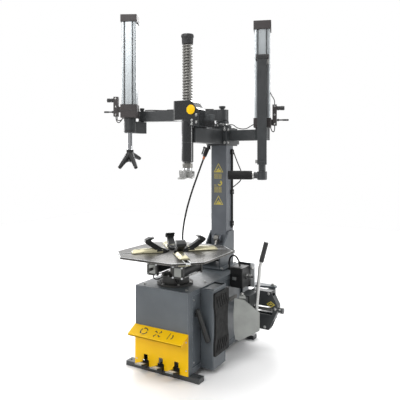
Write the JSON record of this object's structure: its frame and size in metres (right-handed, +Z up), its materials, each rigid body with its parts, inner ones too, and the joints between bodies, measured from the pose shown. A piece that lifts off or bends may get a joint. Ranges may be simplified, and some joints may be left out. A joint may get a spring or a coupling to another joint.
{
  "type": "tire changer machine",
  "caption": "Free-standing tyre changer with an octagonal clamping turntable, a tilting column with sprung mounting shaft, two helper arms and a side bead breaker.",
  "frame": {"origin": "on the floor, at the centre of the four anchor holes, which is below the middle of the cabinet", "axes": "+X is the operator's right, +Y points from the pedals to the column, +Z is up"},
  "size_m": [1.2947, 1.125, 2.316],
  "materials": {
    "grey_paint": "semi-gloss powder coat",
    "column_paint": "satin powder coat",
    "yellow_paint": "semi-gloss powder coat",
    "black_rubber": "matt",
    "black_paint": "satin black",
    "zinc_steel": "zinc plated",
    "table_steel": "brushed",
    "chrome": "polished",
    "aluminium": "satin anodised",
    "black_plastic": "moulded",
    "cast_iron": "as cast"
  },
  "bodies": {
    "cabinet": {"foot_rails": "grey_paint", "cabinet_shell": "grey_paint", "side_panels": "grey_paint", "pedal_cover": "yellow_paint", "buffer_box": "grey_paint", "buffer_pad": "black_rubber", "tyre_lever": "black_paint", "gearbox": "cast_iron", "drive_motor": "black_paint", "drive_belt": "black_rubber", "pivot_pins": "zinc_steel", "column_base": "grey_paint", "breaker_bracket": "grey_paint", "frl_unit": "black_plastic", "gun_hose": "black_rubber", "air_hose": "black_rubber"},
    "turntable": {"turntable_plate": "table_steel", "turntable_shaft": "table_steel", "clamp_drive": "zinc_steel"},
    "jaw_1": {"jaw_1": "black_paint"},
    "jaw_2": {"jaw_2": "black_paint"},
    "jaw_3": {"jaw_3": "black_paint"},
    "jaw_4": {"jaw_4": "black_paint"},
    "worm_pulley": {"worm_pulley": "cast_iron"},
    "motor_pulley": {"motor_pulley": "cast_iron"},
    "turn_pedal": {"turn_pedal": "zinc_steel"},
    "clamp_pedal": {"clamp_pedal": "zinc_steel"},
    "breaker_pedal": {"breaker_pedal": "zinc_steel"},
    "tilt_cylinder": {"tilt_cylinder": "zinc_steel"},
    "tilt_rod": {"tilt_rod": "zinc_steel"},
    "column": {"column_tube": "column_paint", "column_head": "grey_paint", "right_cylinder": "aluminium", "right_cylinder_ends": "black_plastic", "inflator_gun": "black_plastic", "column_hoses": "black_rubber"},
    "gun_trigger": {"gun_trigger": "black_plastic"},
    "right_lever": {"right_lever": "black_plastic"},
    "right_post": {"right_post": "grey_paint"},
    "roller_arm": {"roller_arm": "grey_paint"},
    "tyre_roller": {"tyre_roller": "black_plastic"},
    "main_arm": {"main_arm": "grey_paint", "shaft_housing": "grey_paint", "return_spring": "table_steel"},
    "mount_shaft": {"mount_shaft": "chrome", "shaft_cap": "black_plastic", "mount_head": "table_steel"},
    "head_roller": {"head_roller": "table_steel"},
    "left_arm": {"left_arm": "grey_paint"},
    "left_link": {"left_link": "grey_paint", "left_cylinder": "aluminium", "left_cylinder_ends": "black_plastic"},
    "left_lever": {"left_lever": "black_plastic"},
    "left_rod": {"left_rod": "chrome"},
    "left_presser": {"left_presser": "black_paint"},
    "breaker_arm": {"breaker_arm": "grey_paint"},
    "blade": {"blade": "zinc_steel", "blade_handle": "chrome"},
    "breaker_cylinder": {"breaker_cylinder": "zinc_steel"},
    "breaker_rod": {"breaker_rod": "chrome"}
  },
  "joints": [
    {"name": "turntable_spin", "type": "hinge", "parent": "cabinet", "child": "turntable", "pos_m": [0, -0.255, 0.7], "axis": [0, 0, 1], "continuous": true},
    {"name": "jaw_1_slide", "type": "slide", "parent": "turntable", "child": "jaw_1", "axis": [0.7071, 0.7071, 0], "range_m": [-0.03, 0.06]},
    {"name": "jaw_2_slide", "type": "slide", "parent": "turntable", "child": "jaw_2", "axis": [-0.7071, 0.7071, 0], "range_m": [-0.03, 0.06]},
    {"name": "jaw_3_slide", "type": "slide", "parent": "turntable", "child": "jaw_3", "axis": [-0.7071, -0.7071, 0], "range_m": [-0.03, 0.06]},
    {"name": "jaw_4_slide", "type": "slide", "parent": "turntable", "child": "jaw_4", "axis": [0.7071, -0.7071, 0], "range_m": [-0.03, 0.06]},
    {"name": "worm_pulley_spin", "type": "hinge", "parent": "cabinet", "child": "worm_pulley", "pos_m": [0.075, -0.091, 0.396], "axis": [0, 1, 0], "continuous": true},
    {"name": "motor_pulley_spin", "type": "hinge", "parent": "cabinet", "child": "motor_pulley", "pos_m": [-0.07, -0.091, 0.18], "axis": [0, 1, 0], "continuous": true},
    {"name": "turn_pedal_press", "type": "hinge", "parent": "cabinet", "child": "turn_pedal", "pos_m": [-0.109, -0.29, 0.066], "axis": [1, 0, 0], "range_deg": [-3, 6], "stiffness_Nm_per_rad": 20},
    {"name": "clamp_pedal_press", "type": "hinge", "parent": "cabinet", "child": "clamp_pedal", "pos_m": [0, -0.29, 0.066], "axis": [1, 0, 0], "range_deg": [-3, 6], "stiffness_Nm_per_rad": 20},
    {"name": "breaker_pedal_press", "type": "hinge", "parent": "cabinet", "child": "breaker_pedal", "pos_m": [0.109, -0.29, 0.066], "axis": [1, 0, 0], "range_deg": [-3, 6], "stiffness_Nm_per_rad": 20},
    {"name": "column_tilt", "type": "hinge", "parent": "cabinet", "child": "column", "pos_m": [0, 0.377, 0.6], "axis": [-1, 0, 0], "range_deg": [0, 25]},
    {"name": "tilt_cylinder_swing", "type": "hinge", "parent": "cabinet", "child": "tilt_cylinder", "pos_m": [0, 0.228, 0.56], "axis": [-1, 0, 0], "range_deg": [0, 9.64]},
    {"name": "tilt_rod_slide", "type": "slide", "parent": "tilt_cylinder", "child": "tilt_rod", "axis": [0, 0.4369, 0.8995], "range_m": [0, 0.0471]},
    {"name": "gun_trigger_pull", "type": "hinge", "parent": "column", "child": "gun_trigger", "pos_m": [-0.092, 0.272, 1.35], "axis": [0.9507, -0.3102, 0], "range_deg": [-2, 6]},
    {"name": "right_lever_move", "type": "hinge", "parent": "column", "child": "right_lever", "pos_m": [0.42576, 0.3923, 1.536], "axis": [-0.3502, 0.9367, 0], "range_deg": [-15, 15]},
    {"name": "right_post_lift", "type": "slide", "parent": "column", "child": "right_post", "axis": [0, 0, 1], "range_m": [-0.3, 0.08]},
    {"name": "roller_arm_swing", "type": "hinge", "parent": "right_post", "child": "roller_arm", "pos_m": [0.35857, 0.26789, 1.184], "axis": [0, 0, 1], "range_deg": [-3, 100]},
    {"name": "tyre_roller_spin", "type": "hinge", "parent": "roller_arm", "child": "tyre_roller", "pos_m": [0.21807, 0.21536, 1.158], "axis": [0.9367, 0.3502, 0], "continuous": true},
    {"name": "main_arm_slide", "type": "slide", "parent": "column", "child": "main_arm", "axis": [0, 1, 0], "range_m": [-0.08, 0.15]},
    {"name": "mount_shaft_travel", "type": "slide", "parent": "main_arm", "child": "mount_shaft", "axis": [0, 0, 1], "range_m": [-0.22, 0], "deforming": ["return_spring"]},
    {"name": "head_roller_spin", "type": "hinge", "parent": "mount_shaft", "child": "head_roller", "pos_m": [0.045, -0.13, 1.162], "axis": [0, 1, 0], "continuous": true},
    {"name": "left_arm_swing", "type": "hinge", "parent": "column", "child": "left_arm", "pos_m": [0, 0.377, 1.585], "axis": [0, 0, 1], "range_deg": [-60, 25]},
    {"name": "left_link_swing", "type": "hinge", "parent": "left_arm", "child": "left_link", "pos_m": [-0.589, 0.191, 1.5], "axis": [0, 0, 1], "range_deg": [-90, 40]},
    {"name": "left_lever_move", "type": "hinge", "parent": "left_link", "child": "left_lever", "pos_m": [-0.71071, -0.00327, 1.612], "axis": [-0.4633, 0.8862, 0], "range_deg": [-15, 15]},
    {"name": "left_rod_travel", "type": "slide", "parent": "left_link", "child": "left_rod", "axis": [0, 0, 1], "range_m": [-0.33, 0.03]},
    {"name": "left_presser_swivel", "type": "hinge", "parent": "left_rod", "child": "left_presser", "pos_m": [-0.6, 0.058, 1.308], "axis": [0, 0, 1], "continuous": true},
    {"name": "breaker_arm_swing", "type": "hinge", "parent": "cabinet", "child": "breaker_arm", "pos_m": [0.395, 0.372, 0.28], "axis": [0, 0, 1], "range_deg": [0, 25]},
    {"name": "blade_swivel", "type": "hinge", "parent": "breaker_arm", "child": "blade", "pos_m": [0.327, 0.015, 0.36], "axis": [0, 0, 1], "range_deg": [-12, 12]},
    {"name": "breaker_cylinder_swing", "type": "hinge", "parent": "cabinet", "child": "breaker_cylinder", "pos_m": [0, 0.228, 0.275], "axis": [0, 0, 1], "range_deg": [0, 4]},
    {"name": "breaker_rod_slide", "type": "slide", "parent": "breaker_cylinder", "child": "breaker_rod", "axis": [1, 0, 0], "range_m": [0, 0.0573]}
  ],
  "couplings": [
    {"joint": "jaw_2_slide", "follows": "jaw_1_slide", "ratio": 1},
    {"joint": "jaw_3_slide", "follows": "jaw_1_slide", "ratio": 1},
    {"joint": "jaw_4_slide", "follows": "jaw_1_slide", "ratio": 1},
    {"joint": "worm_pulley_spin", "follows": "turntable_spin", "ratio": 20},
    {"joint": "motor_pulley_spin", "follows": "turntable_spin", "ratio": 49.412},
    {"joint": "tilt_cylinder_swing", "follows": "column_tilt", "ratio": 0.3856},
    {"joint": "tilt_rod_slide", "follows": "column_tilt", "m_per_rad": 0.10795},
    {"joint": "breaker_cylinder_swing", "follows": "breaker_arm_swing", "ratio": 0.16},
    {"joint": "breaker_rod_slide", "follows": "breaker_arm_swing", "m_per_rad": 0.13132}
  ]
}
